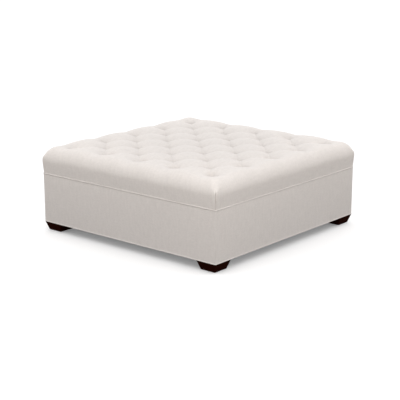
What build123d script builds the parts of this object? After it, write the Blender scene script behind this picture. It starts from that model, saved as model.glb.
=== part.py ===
from build123d import *
from math import asin, atan2, cos, degrees, hypot, radians, sin
import os

# A square cocktail ottoman with a diamond-tufted top, in millimetres.
# X runs left to right, Y front to back and Z up from the floor, and the origin is on the
# floor under the middle of the ottoman.

# The ottoman as a whole
width = 1219.0  # left to right, over the flat base
depth = 1219.0  # front to back, over the flat base
foot_height = 49.0  # floor to the underside of the body
base_height = 270.0  # underside of the body to the middle of the welted seam
cushion_height = 159.0  # that seam to the flat field of the tufted top
soft_clearance = 0.3  # between soft pieces that lie against each other
fit_clearance = 0.1  # round a fastener in its hole
overrun = 5.0  # how far a cut runs past what it cuts

# Layers of the base, from the outside in
cover_thickness = 2.0  # upholstery cloth with its lining
padding_thickness = 8.0
side_panel_thickness = 5.0
lining_thickness = 1.0  # dust cloth, and the tail of the hem welt beside it
base_corner_radius = 5.0
mitre_band = 40.0  # how far in the mitres between the four sides are cut

# Timber frame
rail_thickness = 22.0
lower_rail_height = 60.0
upper_rail_height = 60.0
post_size = 45.0
stud_width = 45.0
corner_block_size = 90.0
corner_block_height = 35.0
joist_width = 38.0
joist_height = 60.0
joist_line_share = 0.75  # of the tuft pitch, which is midway between two lines of tufts
deck_thickness = 18.0

# Form of the top section
seam_pinch = 2.5  # how far the seam is drawn in from the base
side_bulge = 4.5  # how far the sides swell beyond the base
bulge_rise_share = 0.46  # where the sides are fullest, of the cushion's height
roll_share = 0.93  # roll of the upper edge, of the height above that
roll_end_angle = 75.0  # where the roll runs over into the crown, in degrees up
corner_radius = 14.0  # rounding of the sewn corners
corner_crossing_angle = 20.0  # at which that rounding meets the sides, in degrees
corner_run_out_angle = 5.0  # how far its cut runs past the sides, in degrees
cover_filling = 12.5  # wadding bonded behind the cloth, at the sides
field_filling = 23.2  # cloth and wadding over the foam, under the flat field
wadding_thickness = 12.5  # loose sheet between the foam and the cover

# Tufts and pleats
tuft_columns = 5  # outer grid, with one more tuft in the middle of each of its squares
tuft_rows = 5
tuft_border = 122.0  # outermost tufts to the edge of the base
tuft_depth = 48.0  # flat field down to the seat of the button
tuft_well_radius = 12.0  # at the button
tuft_lip_radius = 50.0  # roundness of the cloth as it turns down into the tuft
tuft_plug_drop = 12.0  # wadding that is drawn into the foam below the button
foam_core_radius = 26.0  # hole cored in the foam under each tuft
pleat_half_width = 45.0
pleat_depth = 14.0
pleat_crossing_angle = 8.0  # at which a pleat leaves the flat field, in degrees
button_radius = 11.0
button_height = 8.0
button_rim_radius = 1.5
button_dome_radius = 6.0
twine_radius = 1.25
knot_radius = 3.0
deck_hole_radius = 4.0
washer_radius = 12.0
washer_thickness = 2.0

# Welts
seam_cord_radius = 3.0
seam_cord_proud = 1.5  # how far the cord stands out from the base
seam_tail_thickness = 1.5
hem_cord_radius = 2.5
hem_cord_proud = 0.5
hem_tail_width = 17.0  # from the middle of the cord to the edge of the dust cloth
welt_turn_radius = 5.0  # of the cords' middle lines round the corners

# Feet and what fastens them
foot_top_size = 122.0
foot_bottom_size = 91.0
foot_edge_radius = 2.0
glide_radius = 15.0
glide_height = 3.0
glide_edge_radius = 1.0
glide_pin_radius = 1.5
glide_pin_length = 12.0
bolt_radius = 4.0
bolt_in_foot = 30.0
bolt_above_foot = 31.0
nut_flange_radius = 11.0
nut_flange_thickness = 1.5
nut_barrel_radius = 5.2
nut_barrel_length = 12.0

# Screws and staples
screw_radius = 2.0
screw_head_radius = 4.0
screw_head_depth = 3.0
screw_length = 50.0
screw_pair_offset = 14.0  # each screw of a pair from the middle line of its rail
screw_line_offset = 6.0  # keeps the screws from two sides apart inside a post
block_screw_margin = 25.0  # screws into a corner block from its inner edge
deck_screw_length = 45.0
deck_screws_per_side = 5
deck_screw_margin = 120.0  # end screws to the edge of the base
staple_crown = 11.0
staple_wire_width = 1.2
staple_wire_thickness = 0.7
staple_leg = 6.0
staples_per_side = 9
staple_margin = 180.0  # end staples to the edge of the base
staple_edge_distance = 9.0  # staples in from the edge of the dust cloth

# Heights and reaches that follow from these
seam_height = foot_height + base_height
top_height = seam_height + cushion_height
bulge_height = seam_height + bulge_rise_share * cushion_height
roll_radius = roll_share * (top_height - bulge_height)
frame_bottom = foot_height + lining_thickness
deck_bottom = seam_height - deck_thickness / 2
deck_top = deck_bottom + deck_thickness
wadding_top = top_height - field_filling
foam_top = wadding_top - wadding_thickness - soft_clearance
tuft_seat = top_height - tuft_depth
deck_inset = cover_thickness + padding_thickness
frame_inset = deck_inset + side_panel_thickness
block_inset = frame_inset + rail_thickness
foam_inset = cover_thickness + cover_filling + soft_clearance
cover_low = seam_height + seam_cord_radius + soft_clearance
base_cloth_low = foot_height + hem_cord_radius * 2 + soft_clearance
base_cloth_high = seam_height - seam_cord_radius - soft_clearance
dust_cloth_inset = hem_cord_radius - hem_cord_proud + hem_tail_width

# Each side: its name, its turn from the front, half its run and its reach from the middle
sides = [
    ("front", 0, width / 2, depth / 2),
    ("right", 90, depth / 2, width / 2),
    ("back", 180, width / 2, depth / 2),
    ("left", 270, depth / 2, width / 2),
]
corners = {
    "front_left": (-1, -1),
    "front_right": (1, -1),
    "back_right": (1, 1),
    "back_left": (-1, 1),
}


def block(low, high):
    """A box from its lowest corner to its highest."""
    size = [top - bottom for bottom, top in zip(low, high)]
    return Pos(*low) * Box(*size, align=(Align.MIN, Align.MIN, Align.MIN))


def rod(radius, low, high):
    """An upright cylinder on the Z axis."""
    return Pos(0, 0, low) * Cylinder(radius, high - low, align=(Align.CENTER, Align.CENTER, Align.MIN))


def turned(outline):
    """The solid that a closed outline in X and Z makes when it turns about the Z axis."""
    return revolve(Plane.XZ * make_face(outline), Axis.Z)


def plan(inset, radius=0):
    """The base's outline in plan, drawn in by inset."""
    size = (width - 2 * inset, depth - 2 * inset)
    return RectangleRounded(*size, radius) if radius else Rectangle(*size)


def slab(inset, low, high):
    """A square-cornered slab as large as the base drawn in by inset."""
    return Pos(0, 0, low) * extrude(plan(inset), amount=high - low)


# Form of the top section


def on_circle(centre, radius, angle):
    """The point of a circle at an angle in degrees from its first axis."""
    return (centre[0] + radius * cos(radians(angle)), centre[1] + radius * sin(radians(angle)))


def arc_about(centre, radius, start, end):
    """The arc of a circle between two angles in degrees."""
    angles = (start, (start + end) / 2, end)
    return ThreePointArc(*[on_circle(centre, radius, angle) for angle in angles])


def cushion_section(half, inset, low):
    """Section of the top section from the height low upwards, drawn in by inset.

    Each side is a bulge arc, a roll and a crown arc, all tangent, and the field is flat.
    """
    swell = seam_pinch + side_bulge
    bulge_radius = (swell**2 + (bulge_height - seam_height) ** 2) / (2 * swell)
    end_rise = sin(radians(roll_end_angle))
    crown_radius = (top_height - bulge_height - roll_radius * end_rise) / (1 - end_rise)
    bulge_centre = (half + side_bulge - bulge_radius, bulge_height)
    roll_centre = (half + side_bulge - roll_radius, bulge_height)
    crown_centre = on_circle(roll_centre, roll_radius - crown_radius, roll_end_angle)
    low_angle = degrees(asin((low - bulge_height) / (bulge_radius - inset)))
    side = [
        arc_about(bulge_centre, bulge_radius - inset, low_angle, 0),
        arc_about(roll_centre, roll_radius - inset, 0, roll_end_angle),
        arc_about(crown_centre, crown_radius - inset, roll_end_angle, 90),
    ]
    other_side = [mirror(arc, Plane.YZ) for arc in side]
    foot = side[0] @ 0
    brow = side[-1] @ 1
    field = Line((-brow.X, brow.Y), (brow.X, brow.Y))
    floor = Line((-foot.X, foot.Y), (foot.X, foot.Y))
    return make_face(side + other_side + [field, floor])


def corner_trims(inset):
    """The four upright prisms that round the sewn corners, none where inset passes the rounding."""
    if inset >= corner_radius:
        return []
    reach = corner_radius * cos(radians(corner_crossing_angle))
    half_width = width / 2 + side_bulge - reach
    half_depth = depth / 2 + side_bulge - reach
    start = corner_crossing_angle - corner_run_out_angle
    arc = arc_about((0, 0), corner_radius - inset, start, 90 - start)
    first, last = arc @ 0, arc @ 1
    outside = corner_radius + overrun
    edges = [
        arc,
        Line(last, (last.X, outside)),
        Line((last.X, outside), (outside, outside)),
        Line((outside, outside), (outside, first.Y)),
        Line((outside, first.Y), first),
    ]
    prism = extrude(make_face(edges), amount=top_height + overrun)
    spread = Pos(half_width, half_depth, 0) * prism
    mirrored = mirror(spread, Plane.YZ)
    return [spread, mirrored, mirror(spread, Plane.XZ), mirror(mirrored, Plane.XZ)]


def cushion_form(inset, low):
    """The top section without its tufts: two runs of its section crossed, with rounded corners."""
    across = extrude(Plane.XZ * cushion_section(width / 2, inset, low), amount=depth, both=True)
    along = extrude(Plane.YZ * cushion_section(depth / 2, inset, low), amount=width, both=True)
    form = across & along
    trims = corner_trims(inset)
    return form - trims if trims else form


# Tufts and pleats

half_pitch_x = (width - 2 * tuft_border) / (2 * tuft_columns - 2)
half_pitch_y = (depth - 2 * tuft_border) / (2 * tuft_rows - 2)
last_column = 2 * tuft_columns - 2
last_row = 2 * tuft_rows - 2
joist_offset = joist_line_share * 2 * half_pitch_x


def tuft_place(column, row):
    """Where a point of the half-pitch grid lies in plan."""
    return (
        tuft_border - width / 2 + column * half_pitch_x,
        tuft_border - depth / 2 + row * half_pitch_y,
    )


def tuft_places():
    """Every other point of the grid carries a tuft, so that the tufts stand in diamonds."""
    grid = [(column, row) for column in range(last_column + 1) for row in range(last_row + 1)]
    return [tuft_place(column, row) for column, row in grid if (column + row) % 2 == 0]


def pleat_runs():
    """The ends of each straight line of pleats, from one outer tuft to another."""
    runs = []
    for offset in range(2 - last_row, last_column, 2):
        first = max(0, offset)
        last = min(last_column, last_row + offset)
        if last > first:
            low_row, high_row = first - offset, last - offset
            runs.append((tuft_place(first, low_row), tuft_place(last, high_row)))
            runs.append((tuft_place(first, last_row - low_row), tuft_place(last, last_row - high_row)))
    return runs


def tuft_tool():
    """What a tuft takes out of the form: a well at the button that opens in a round lip."""
    lip_centre = (tuft_well_radius + tuft_lip_radius, tuft_seat)
    lip = arc_about(lip_centre, tuft_lip_radius, 180, 90)
    brow = lip @ 1
    ceiling = top_height + overrun
    walls = Polyline(
        (brow.X, brow.Y), (brow.X, ceiling), (0, ceiling), (0, tuft_seat), (tuft_well_radius, tuft_seat)
    )
    return turned([lip, walls])


def pleat_tool(start, end):
    """What a line of pleats takes out: a valley with two round banks and a crease between."""
    crossing = radians(pleat_crossing_angle)
    span = pleat_half_width**2 + pleat_depth**2
    radius = span / (2 * (pleat_depth * cos(crossing) - pleat_half_width * sin(crossing)))
    bank_centre = (pleat_half_width + radius * sin(crossing), top_height - radius * cos(crossing))
    crease_rise = top_height - pleat_depth - bank_centre[1]
    crease_angle = 180 - degrees(asin(crease_rise / radius))
    bank = arc_about(bank_centre, radius, crease_angle, 90)
    brow = bank @ 1
    ceiling = top_height + overrun
    lid = Polyline((brow.X, brow.Y), (brow.X, ceiling), (-brow.X, ceiling), (-brow.X, brow.Y))
    run = (end[0] - start[0], end[1] - start[1])
    valley = make_face([bank, lid, mirror(bank, Plane.YZ)])
    heading = degrees(atan2(run[1], run[0]))
    return Pos(*start, 0) * Rot(0, 0, heading) * extrude(Plane.YZ * valley, amount=hypot(*run))


def tufted_form(low):
    """The outer form of the tufted top, from the height low upwards."""
    pleats = [pleat_tool(start, end) for start, end in pleat_runs()]
    tufts = [Pos(x, y, 0) * tuft_tool() for x, y in tuft_places()]
    return cushion_form(0, low) - pleats - tufts


def at_tufts(shape):
    """A copy of the shape at every tuft."""
    return [Pos(x, y, 0) * shape for x, y in tuft_places()]


def top_cover():
    """The tufted cover with the filling bonded behind its cloth, open over the foam and the deck."""
    plug_low = tuft_seat - tuft_plug_drop
    plug = rod(foam_core_radius - soft_clearance, plug_low, top_height)
    inside = cushion_form(foam_inset - soft_clearance, cover_low - overrun)
    inside &= slab(0, cover_low - overrun, wadding_top + soft_clearance)
    inside -= at_tufts(plug)
    deck_space = slab(deck_inset - soft_clearance, cover_low - overrun, deck_top + soft_clearance)
    hole = rod(twine_radius + fit_clearance, plug_low - overrun, tuft_seat + overrun)
    return tufted_form(cover_low) - inside - deck_space - at_tufts(hole)


def filling_layer(low, high):
    """A layer of the filling under the cover, with its edge rolled and a core cut at each tuft."""
    form = cushion_form(foam_inset, cover_low) & slab(0, low, high)
    core = rod(foam_core_radius, low - overrun, high + overrun)
    return form - at_tufts(core)


def tuft_buttons():
    button = rod(button_radius, tuft_seat, tuft_seat + button_height)
    button = fillet(button.edges().group_by(Axis.Z)[0], button_rim_radius)
    return at_tufts(fillet(button.edges().group_by(Axis.Z)[-1], button_dome_radius))


def tuft_washers():
    ring = rod(washer_radius, deck_bottom - washer_thickness, deck_bottom)
    hole = rod(twine_radius + fit_clearance, deck_bottom - washer_thickness, deck_bottom)
    return at_tufts(ring - hole)


def tuft_twines():
    knot_height = deck_bottom - washer_thickness - knot_radius
    twine = rod(twine_radius, knot_height, tuft_seat) + Pos(0, 0, knot_height) * Sphere(knot_radius)
    return at_tufts(twine)


# Welts


def welt(cord_inset, cord_height, cord_radius, tail_low, tail_high, tail_inset):
    """A piped cord round the body, with the flat tail that is stapled behind it."""
    path = Pos(0, 0, cord_height) * plan(cord_inset, welt_turn_radius).wire()
    start = path @ 0
    cord = sweep(Plane(start, z_dir=path % 0) * Circle(cord_radius), path=path)
    tail_plan = plan(cord_inset, welt_turn_radius) - plan(tail_inset)
    tail = Pos(0, 0, tail_low) * extrude(tail_plan, amount=tail_high - tail_low)
    return cord + tail


def seam_welt():
    half_tail = seam_tail_thickness / 2
    return welt(
        seam_cord_radius - seam_cord_proud,
        seam_height,
        seam_cord_radius,
        seam_height - half_tail,
        seam_height + half_tail,
        deck_inset,
    )


def hem_welt():
    cord_inset = hem_cord_radius - hem_cord_proud
    return welt(
        cord_inset,
        foot_height + hem_cord_radius,
        hem_cord_radius,
        foot_height,
        frame_bottom,
        dust_cloth_inset,
    )


# Base sides


def side_slice(side):
    """The part of the plan that belongs to one side, cut at 45 degrees at the corners."""
    name, turn, half_run, reach = side
    far, near = overrun, -mitre_band
    outline = Polyline(
        (-half_run - far, -reach - far),
        (half_run + far, -reach - far),
        (half_run + near, -reach - near),
        (-half_run - near, -reach - near),
        close=True,
    )
    return Rot(0, 0, turn) * extrude(make_face(outline), amount=top_height)


def base_cover(side):
    outer = plan(0, base_corner_radius)
    inner = plan(cover_thickness, base_corner_radius - cover_thickness)
    ring = Pos(0, 0, base_cloth_low) * extrude(outer - inner, amount=base_cloth_high - base_cloth_low)
    return ring & side_slice(side)


def base_padding(side):
    outer = plan(cover_thickness, base_corner_radius - cover_thickness)
    ring = Pos(0, 0, base_cloth_low) * extrude(
        outer - plan(deck_inset), amount=base_cloth_high - base_cloth_low
    )
    return ring & side_slice(side)


def along_side(side, outer_inset, thickness, low, high, long_inset, short_inset):
    """A board flat against one side, long on the front and back and between them on the others."""
    name, turn, half_run, reach = side
    end_inset = long_inset if name in ("front", "back") else short_inset
    half = half_run - end_inset
    face = outer_inset - reach
    return Rot(0, 0, turn) * block((-half, face, low), (half, face + thickness, high))


def side_panel(side):
    return along_side(
        side, deck_inset, side_panel_thickness, frame_bottom, deck_bottom, deck_inset, frame_inset
    )


# Timber frame


def rail(side, low, high):
    return along_side(side, frame_inset, rail_thickness, low, high, frame_inset, block_inset)


def lower_rail(side):
    board = rail(side, frame_bottom, frame_bottom + lower_rail_height)
    return board - screw_holes(rail_screws(side)) - staple_slots(side)


def upper_rail(side):
    board = rail(side, deck_bottom - upper_rail_height, deck_bottom)
    return board - screw_holes(rail_screws(side) + joist_screws(side) + deck_screw_places(side))


def side_stud(side):
    name, turn, half_run, reach = side
    face = frame_inset - reach
    low = frame_bottom + lower_rail_height
    high = deck_bottom - upper_rail_height
    return Rot(0, 0, turn) * block(
        (-stud_width / 2, face, low), (stud_width / 2, face + rail_thickness, high)
    )


def in_corner(corner, size, low, high):
    """A square post inside the rails at one corner."""
    x_sign, y_sign = corners[corner]
    centre = (
        x_sign * (width / 2 - block_inset - size / 2),
        y_sign * (depth / 2 - block_inset - size / 2),
        low,
    )
    return Pos(*centre) * Box(size, size, high - low, align=(Align.CENTER, Align.CENTER, Align.MIN))


def corner_post(corner):
    post = in_corner(corner, post_size, frame_bottom + corner_block_height, deck_bottom)
    screws = [place for side in sides for place in rail_screws(side)]
    return post - screw_holes(screws)


def foot_place(corner):
    """The middle of a foot in plan, with its outer faces flush with the base."""
    x_sign, y_sign = corners[corner]
    return (x_sign * (width - foot_top_size) / 2, y_sign * (depth - foot_top_size) / 2)


def corner_block(corner):
    low, high = frame_bottom, frame_bottom + corner_block_height
    solid = in_corner(corner, corner_block_size, low, high)
    bore = rod(nut_barrel_radius + fit_clearance, low - overrun, high + overrun)
    recess = rod(nut_flange_radius + fit_clearance, high - nut_flange_thickness, high + overrun)
    x, y = foot_place(corner)
    screws = [place for side in sides for place in rail_screws(side)]
    return solid - Pos(x, y, 0) * (bore + recess) - screw_holes(screws)


def deck_joist(sign):
    place = sign * joist_offset
    half_run = depth / 2 - block_inset
    low = deck_bottom - joist_height
    beam = block(
        (place - joist_width / 2, -half_run, low), (place + joist_width / 2, half_run, deck_bottom)
    )
    return beam - screw_holes(joist_screws(sides[0]) + joist_screws(sides[2]))


def deck_board():
    board = slab(deck_inset, deck_bottom, deck_top)
    hole = rod(deck_hole_radius, deck_bottom - overrun, deck_top + overrun)
    screws = [place for side in sides for place in deck_screw_places(side)]
    return board - at_tufts(hole) - screw_holes(screws)


# Screws and staples


def evenly(count, half_span):
    """Places spread evenly over a span about zero."""
    return [half_span * (2 * index / (count - 1) - 1) for index in range(count)]


def screw(length, clearance=0.0):
    """A countersunk screw that points along -Z, with the top of its head at zero."""
    head, shank = screw_head_radius + clearance, screw_radius + clearance
    tip = -length - clearance
    return turned(
        Polyline((0, 0), (head, 0), (shank, -screw_head_depth), (shank, tip), (0, tip), close=True)
    )


def screw_holes(places):
    """Holes for frame or deck screws, which are given as pairs of a place and a length."""
    return [place * screw(length, fit_clearance) for place, length in places]


def into_side(side, run, inset, height):
    """A place on a face of one side, from which a screw points inwards."""
    name, turn, half_run, reach = side
    return Rot(0, 0, turn) * Pos(run, inset - reach, height) * Rot(90, 0, 0)


def rail_screws(side):
    """Two screws through each end of both rails, into the post and into the corner block."""
    name, turn, half_run, reach = side
    shift = screw_line_offset if name in ("front", "back") else -screw_line_offset
    lower = frame_bottom + lower_rail_height / 2 + shift
    upper = deck_bottom - upper_rail_height / 2 + shift
    post_run = half_run - block_inset - post_size / 2
    block_run = half_run - block_inset - corner_block_size + block_screw_margin
    spots = [
        (block_run, lower - screw_pair_offset),
        (post_run, lower + screw_pair_offset),
        (post_run, upper - screw_pair_offset),
        (post_run, upper + screw_pair_offset),
    ]
    return [
        (into_side(side, end * run, frame_inset, height), screw_length)
        for run, height in spots
        for end in (-1, 1)
    ]


def joist_screws(side):
    """Two screws through the front and the back rail into each end of a joist."""
    if side[0] not in ("front", "back"):
        return []
    middle = deck_bottom - upper_rail_height / 2
    return [
        (into_side(side, run, frame_inset, middle + rise), screw_length)
        for run in (-joist_offset, joist_offset)
        for rise in (-screw_pair_offset, screw_pair_offset)
    ]


def deck_screw_places(side):
    """Screws down through the deck into the upper rail of one side."""
    name, turn, half_run, reach = side
    line = frame_inset + rail_thickness / 2 - reach
    return [
        (Rot(0, 0, turn) * Pos(run, line, deck_top), deck_screw_length)
        for run in evenly(deck_screws_per_side, half_run - deck_screw_margin)
    ]


def frame_screws():
    places = [place for side in sides for place in rail_screws(side) + joist_screws(side)]
    return [place * screw(length) for place, length in places]


def deck_screws():
    places = [place for side in sides for place in deck_screw_places(side)]
    return [place * screw(length) for place, length in places]


def staple_legs(clearance=0.0):
    """The two legs of a staple, which stand up from its crown."""
    half_width = staple_wire_width / 2 + clearance
    outer, inner = staple_crown / 2 + clearance, staple_crown / 2 - staple_wire_thickness - clearance
    leg = block((inner, -half_width, 0), (outer, half_width, staple_leg + clearance))
    return [leg, mirror(leg, Plane.YZ)]


def staple_places(side):
    name, turn, half_run, reach = side
    line = dust_cloth_inset + staple_edge_distance - reach
    return [
        Rot(0, 0, turn) * Pos(run, line, foot_height)
        for run in evenly(staples_per_side, half_run - staple_margin)
    ]


def staple_slots(side):
    return [place * leg for place in staple_places(side) for leg in staple_legs(fit_clearance)]


def dust_cover_staples():
    half_crown, half_width = staple_crown / 2, staple_wire_width / 2
    crown = block((-half_crown, -half_width, -staple_wire_thickness), (half_crown, half_width, 0))
    staple = crown + staple_legs()
    return [place * staple for side in sides for place in staple_places(side)]


def dust_cover():
    sheet = slab(dust_cloth_inset, foot_height, frame_bottom)
    bore = rod(bolt_radius + fit_clearance, foot_height - overrun, frame_bottom + overrun)
    slots = [slot for side in sides for slot in staple_slots(side)]
    return sheet - at_feet(bore) - slots


# Feet and what fastens them


def at_feet(shape):
    """A copy of the shape at the middle of every foot."""
    return [Pos(*foot_place(corner), 0) * shape for corner in corners]


def foot(corner):
    height = foot_height - glide_height
    taper = degrees(atan2((foot_top_size - foot_bottom_size) / 2, height))
    top_face = Rectangle(foot_top_size, foot_top_size)
    solid = Pos(0, 0, foot_height) * extrude(top_face, amount=height, dir=(0, 0, -1), taper=taper)
    rounded = [edge for edge in solid.edges() if edge.center().Z < foot_height - foot_edge_radius]
    solid = fillet(rounded, foot_edge_radius)
    bolt_bore = rod(
        bolt_radius + fit_clearance, foot_height - bolt_in_foot - fit_clearance, foot_height + overrun
    )
    pin_bore = rod(
        glide_pin_radius + fit_clearance,
        glide_height - overrun,
        glide_height + glide_pin_length + fit_clearance,
    )
    return Pos(*foot_place(corner), 0) * (solid - bolt_bore - pin_bore)


def floor_glides():
    disc = rod(glide_radius, 0, glide_height)
    disc = fillet(disc.edges().sort_by(Axis.Z)[0], glide_edge_radius)
    pin = rod(glide_pin_radius, glide_height - glide_edge_radius, glide_height + glide_pin_length)
    return at_feet(disc + pin)


def hanger_bolts():
    return at_feet(rod(bolt_radius, foot_height - bolt_in_foot, foot_height + bolt_above_foot))


def t_nuts():
    high = frame_bottom + corner_block_height
    flange = rod(nut_flange_radius, high - nut_flange_thickness, high)
    barrel = rod(nut_barrel_radius, high - nut_barrel_length, high)
    bore = rod(bolt_radius + fit_clearance, high - nut_barrel_length - overrun, high + overrun)
    return at_feet(flange + barrel - bore)


def write(name, shape):
    """Write one node, whose separate solids stay separate."""
    if isinstance(shape, list):
        shape = Compound(children=shape)
    export_step(shape, f"parts/{name}.step")


os.makedirs("parts", exist_ok=True)
write("top_cover", top_cover())
write("top_wadding", filling_layer(foam_top + soft_clearance, wadding_top))
write("foam_slab", filling_layer(deck_top, foam_top))
write("tuft_buttons", tuft_buttons())
write("tuft_twines", tuft_twines())
write("tuft_washers", tuft_washers())
write("seam_welt", seam_welt())
write("hem_welt", hem_welt())
write("deck_board", deck_board())
write("deck_joist_left", deck_joist(-1))
write("deck_joist_right", deck_joist(1))
write("frame_screws", frame_screws())
write("deck_screws", deck_screws())
write("dust_cover", dust_cover())
write("dust_cover_staples", dust_cover_staples())
write("floor_glides", floor_glides())
write("hanger_bolts", hanger_bolts())
write("t_nuts", t_nuts())
for side in sides:
    write(f"base_cover_{side[0]}", base_cover(side))
    write(f"base_padding_{side[0]}", base_padding(side))
    write(f"side_panel_{side[0]}", side_panel(side))
    write(f"lower_rail_{side[0]}", lower_rail(side))
    write(f"upper_rail_{side[0]}", upper_rail(side))
    write(f"side_stud_{side[0]}", side_stud(side))
for corner in corners:
    write(f"corner_post_{corner}", corner_post(corner))
    write(f"corner_block_{corner}", corner_block(corner))
    write(f"foot_{corner}", foot(corner))
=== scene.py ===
from math import asin, atan2, cos, pi, radians, sin

import bpy
import numpy as np
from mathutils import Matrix, Vector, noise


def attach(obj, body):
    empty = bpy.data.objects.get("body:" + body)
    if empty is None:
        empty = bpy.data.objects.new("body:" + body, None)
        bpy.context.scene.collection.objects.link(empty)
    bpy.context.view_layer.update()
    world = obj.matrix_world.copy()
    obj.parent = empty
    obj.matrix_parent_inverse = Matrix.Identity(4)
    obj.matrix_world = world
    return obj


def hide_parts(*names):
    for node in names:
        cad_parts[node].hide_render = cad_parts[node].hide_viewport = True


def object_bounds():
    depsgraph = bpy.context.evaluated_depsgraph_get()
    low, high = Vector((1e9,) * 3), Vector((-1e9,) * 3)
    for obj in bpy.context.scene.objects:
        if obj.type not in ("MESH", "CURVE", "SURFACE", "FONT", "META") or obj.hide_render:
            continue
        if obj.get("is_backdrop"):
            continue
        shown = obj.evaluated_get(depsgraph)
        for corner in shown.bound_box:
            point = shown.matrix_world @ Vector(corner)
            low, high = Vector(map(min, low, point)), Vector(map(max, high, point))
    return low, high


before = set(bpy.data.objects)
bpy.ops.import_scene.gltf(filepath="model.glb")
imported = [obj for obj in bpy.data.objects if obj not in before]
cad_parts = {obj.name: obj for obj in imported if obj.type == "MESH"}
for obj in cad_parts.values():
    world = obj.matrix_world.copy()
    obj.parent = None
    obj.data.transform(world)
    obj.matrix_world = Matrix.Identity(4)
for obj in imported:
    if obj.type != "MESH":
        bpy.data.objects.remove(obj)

# A square cocktail ottoman with a diamond-tufted top, in metres. X runs left to right, Y front
# to back and Z up from the floor, with the origin on the floor under the middle.


def write_size(name, sizes):
    """Keeps the bounds of what the scene holds now, under a name."""
    low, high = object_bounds()
    sizes[name] = [list(low), list(high)]


sizes = {}
write_size("loaded", sizes)

# The base and the seam
half_width = 0.6095  # middle of the ottoman to the face of the base
body_bottom = 0.049
seam_height = 0.3228
base_low = 0.0530  # lower edge of the base's cloth, at the hem welt
base_high = 0.3205  # its upper edge, at the seam welt
base_corner = 0.0025
cloth_thickness = 0.0016

# Welts
cord_radius = 0.0027
cord_corner = 0.005
cord_steps = 160  # along each side
cord_facets = 12
cord_crowding = 0.55  # how far the steps gather at the corners
cord_wave = 0.0003  # how far the hand-sewn cord strays from its line
cord_drift_rate = 6.0  # to and fro, in waves to the metre
cord_lift_rate = 5.0  # up and down
cord_swell = 0.06  # by what share its thickness varies
cord_swell_rate = 40.0
seam_cord_out = 0.0007  # middle of the seam's cord beyond the face of the base
tail_width = 0.0165
tail_thickness = 0.0007
tail_rise = 0.0001  # underside of the body up to the hem welt's tail
tail_steps = 80  # along each side
tail_outer_corner = 0.004
tail_inner_corner = 0.0005

# Profile of the top section, from the flat field out and down to the seam
field_height = 0.478
bulge_height = 0.39214  # where the sides are fullest
seam_pinch = 0.0010
side_bulge = 0.0014
roll_radius = 0.07985  # of the upper edge
roll_end = radians(75)
cover_low = 0.324
cover_thickness = 0.0018

# Fullness of the padded border and of the shoulder below it. Lengths here and in the corners
# run along the profile, from the outer tufts down.
border_fullness = 0.0070
border_length = 0.084
border_width = 0.032
shoulder_fullness = 0.0072
shoulder_length = 0.130
shoulder_rise = 0.042
shoulder_fall = 0.078

# Corners of the top section
corner_stations = np.array([0.0, 0.025, 0.067, 0.100, 0.130, 0.144, 0.153, 0.245])
corner_radii = np.array([0.0, 0.010, 0.020, 0.027, 0.026, 0.017, 0.0045, 0.0035])
corner_slack = (0.0, 0.15, 0.1, -0.6)  # front left, front right, back right, back left
slack_start = 0.16  # from the corner, where its slack begins
slack_full = 0.02
crowd_start = 0.02  # where the points begin to gather at the corners
crowd_full = 0.12
sewn_start = 0.146  # where the corner's upright seam begins
sewn_full = 0.156
groove_depth = 0.0065  # of that seam
groove_width = 0.0018
fold_depth = 0.0022  # of the small upright folds beside it
fold_pitch = 0.019
fold_reach = 0.022
fold_start = 0.004
fold_full = 0.008

# Tufts and the buttons in them
tuft_lines = 9  # lines of tufts each way, with a tuft at every second crossing
outer_tuft = 0.4875  # middle of the ottoman to the outer lines of tufts
half_pitch = 2 * outer_tuft / (tuft_lines - 1)
well_depth = 0.045  # flat field down to the seat of a button
button_radius = 0.0115
button_height = 0.0060
button_lift = 0.0004  # seat of the button up to its underside
button_gathers = 7  # small folds of the cloth round the button
button_gather_depth = 0.012  # as a share of its radius
tuft_steps = range(tuft_lines)
tuft_grid = [(i, j) for i in tuft_steps for j in tuft_steps if (i + j) % 2 == 0]
tuft_points = np.array([(i * half_pitch - outer_tuft, j * half_pitch - outer_tuft) for i, j in tuft_grid])

# Pillows and pleats between the tufts
pillow_drop = 0.0140  # top of a pillow down to the middle of a pleat
pillow_power = 2.6
round_share = 0.25
crossing_share = 0.15  # how much lower a crossing of two pleats lies, of the drop
crease_middle = 0.0006
crease_tuft = 0.008
crease_width = 0.0045
crease_power = 5
fade_width = 0.030  # how far the pleats run out into the border
late_fade_width = 0.06
late_fade_share = 0.15

# How the tufts draw the cloth down
mouth_depth = 0.012
mouth_radius = 0.0125
mouth_width = 0.010
mouth_power = 1.2
far_mouth_share = 0.8  # by how much the mouths along the far sides are shallower
tuft_pull = 0.014
pull_width = 0.048
pull_power = 1.6
pull_lean_share = 0.5  # how far the outer tufts' pull reaches out over the border
dimple_depth = 0.016  # of the hollow on the inner side of the tufts along the near sides
dimple_width = 0.020
dimple_inset = 0.026
near_band = 0.1  # half the width of the change from far to near

# How the cloth settles
settle_limit = 0.006  # how far a point may move
settle_frames = 20
least_hold = 0.01  # below which a point is free
pleat_hold_share = 0.5  # how firmly the pleats are held
pleat_grip_share = 0.8
tuft_hold_radius = 0.015
hold_margin = 0.02  # beyond the outer tufts
ring_hold_share = 0.1
boxed_start = 0.05  # where the boxed side begins to be held
boxed_full = 0.14

# Layers of filling
wadding_depth = 0.018  # under the cover's own surface
wadding_high = 0.4545
wadding_low = 0.4426
wadding_clearance = 0.0026  # under the tufts and pleats
foam_depth = 0.030
foam_high = 0.4420
foam_low = 0.3283
foam_clearance = 0.0042
layer_least = 0.0008  # thinnest place of a layer
layer_margin = 0.001
fold_room = 0.0065  # kept free under the settled folds of the cover
fold_room_start = 0.001  # how far the cover is drawn down where that room begins
fold_room_full = 0.009
padding_back = 0.0028  # face of the base back to its wadding
padding_thickness = 0.007
padding_margin = 0.001
padding_swell = 0.0006

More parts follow.
